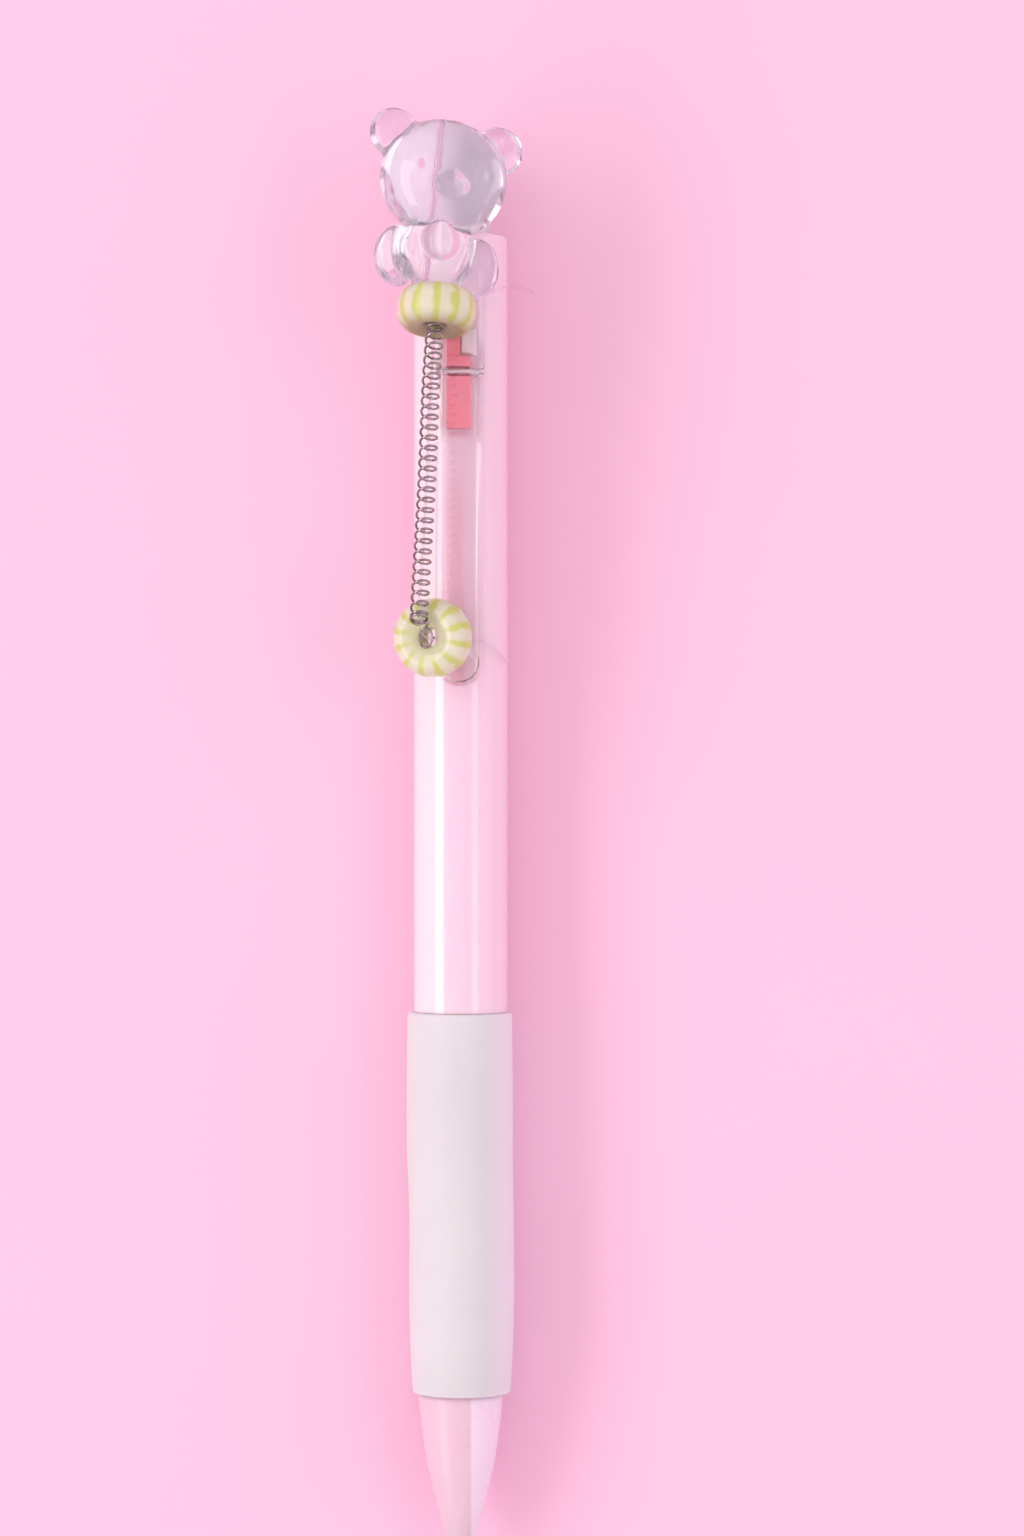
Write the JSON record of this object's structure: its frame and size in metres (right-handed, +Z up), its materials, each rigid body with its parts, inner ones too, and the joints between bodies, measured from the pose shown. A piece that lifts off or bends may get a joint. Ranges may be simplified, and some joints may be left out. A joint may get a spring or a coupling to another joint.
{
  "type": "gel pen",
  "caption": "Retractable gel pen with a slim milky barrel, soft grip sleeve, sprung clear clip and a charm strand of a clear bear bead, striped beads and a coil spring.",
  "frame": {"origin": "on the grip face that the pen rests on, close to the middle of the grip, under the pen axis", "axes": "+Y along the pen towards the knock, writing tip towards -Y; +Z up through the clip; +X to the right seen from above with the knock away"},
  "size_m": [0.0167, 0.15, 0.0214],
  "materials": {
    "milky_pink_barrel": "gloss milky translucent pink",
    "silicone_grip": "soft matte pale grey-pink silicone",
    "cone_resin": "translucent pale pink",
    "knock_resin": "semi-gloss off-white",
    "cam_resin": "natural acetal",
    "clip_resin": "clear with a light salmon tint, polished",
    "coral_resin": "opaque coral, semi-gloss",
    "steel": "bright drawn wire",
    "nib_steel": "turned",
    "tungsten": "polished",
    "refill_resin": "translucent polypropylene",
    "ink": "wet black gel",
    "grease": "clear follower grease",
    "clear_acrylic": "clear polished acrylic",
    "striped_resin": "cream resin with yellow-green stripes",
    "nylon": "clear nylon thread"
  },
  "bodies": {
    "barrel": {"barrel": "milky_pink_barrel", "grip_sleeve": "silicone_grip", "cam_sleeve": "cam_resin", "clip_mount": "coral_resin", "clip_pin": "nib_steel", "clip_spring": "steel", "return_spring": "steel", "charm_spring": "steel", "strand_thread": "nylon", "upper_tie_thread": "nylon"},
    "front_cone": {"front_cone": "cone_resin"},
    "refill": {"refill_tube": "refill_resin", "refill_adapter": "cam_resin", "metal_nib": "nib_steel", "nib_ball": "tungsten", "ink_column": "ink", "ink_follower": "grease", "rotor_cam": "cam_resin"},
    "knock": {"knock_button": "knock_resin", "plunger_cam": "cam_resin"},
    "clip": {"clip": "clip_resin", "bead_eyelet": "steel", "lower_tie_thread": "nylon"},
    "bear": {"bear_bead": "clear_acrylic"},
    "upper_bead": {"upper_bead": "striped_resin"},
    "lower_bead": {"lower_bead": "striped_resin"}
  },
  "joints": [
    {"name": "refill_feed", "type": "slide", "parent": "barrel", "child": "refill", "axis": [0, -1, 0], "range_m": [0, 0.0055], "stiffness_N_per_m": 250, "springref_m": -0.004, "deforming": ["return_spring"]},
    {"name": "knock_press", "type": "slide", "parent": "barrel", "child": "knock", "axis": [0, -1, 0], "range_m": [0, 0.0055]},
    {"name": "cone_removal", "type": "slide", "parent": "barrel", "child": "front_cone", "axis": [0, -1, 0], "range_m": [0, 0.02]},
    {"name": "clip_lift", "type": "hinge", "parent": "barrel", "child": "clip", "pos_m": [0, 0.0863, 0.0113], "axis": [-1, 0, 0], "range_deg": [0, 7], "stiffness_Nm_per_rad": 0.6, "springref_deg": -5.73, "deforming": ["clip_spring", "charm_spring", "strand_thread"]},
    {"name": "bear_turn", "type": "hinge", "parent": "barrel", "child": "bear", "pos_m": [-0.0017, 0.1056, 0.0142], "axis": [0.0934, 0.9699, -0.225], "range_deg": [-8, 8]},
    {"name": "upper_bead_spin", "type": "hinge", "parent": "barrel", "child": "upper_bead", "pos_m": [-0.0023, 0.092, 0.01735], "axis": [0.0764, 0.9714, -0.225], "continuous": true},
    {"name": "lower_bead_spin", "type": "hinge", "parent": "clip", "child": "lower_bead", "pos_m": [-0.00272, 0.0588, 0.01565], "axis": [-0.309, 0, 0.9511], "continuous": true}
  ],
  "couplings": [
    {"joint": "knock_press", "follows": "refill_feed", "ratio": 1}
  ]
}
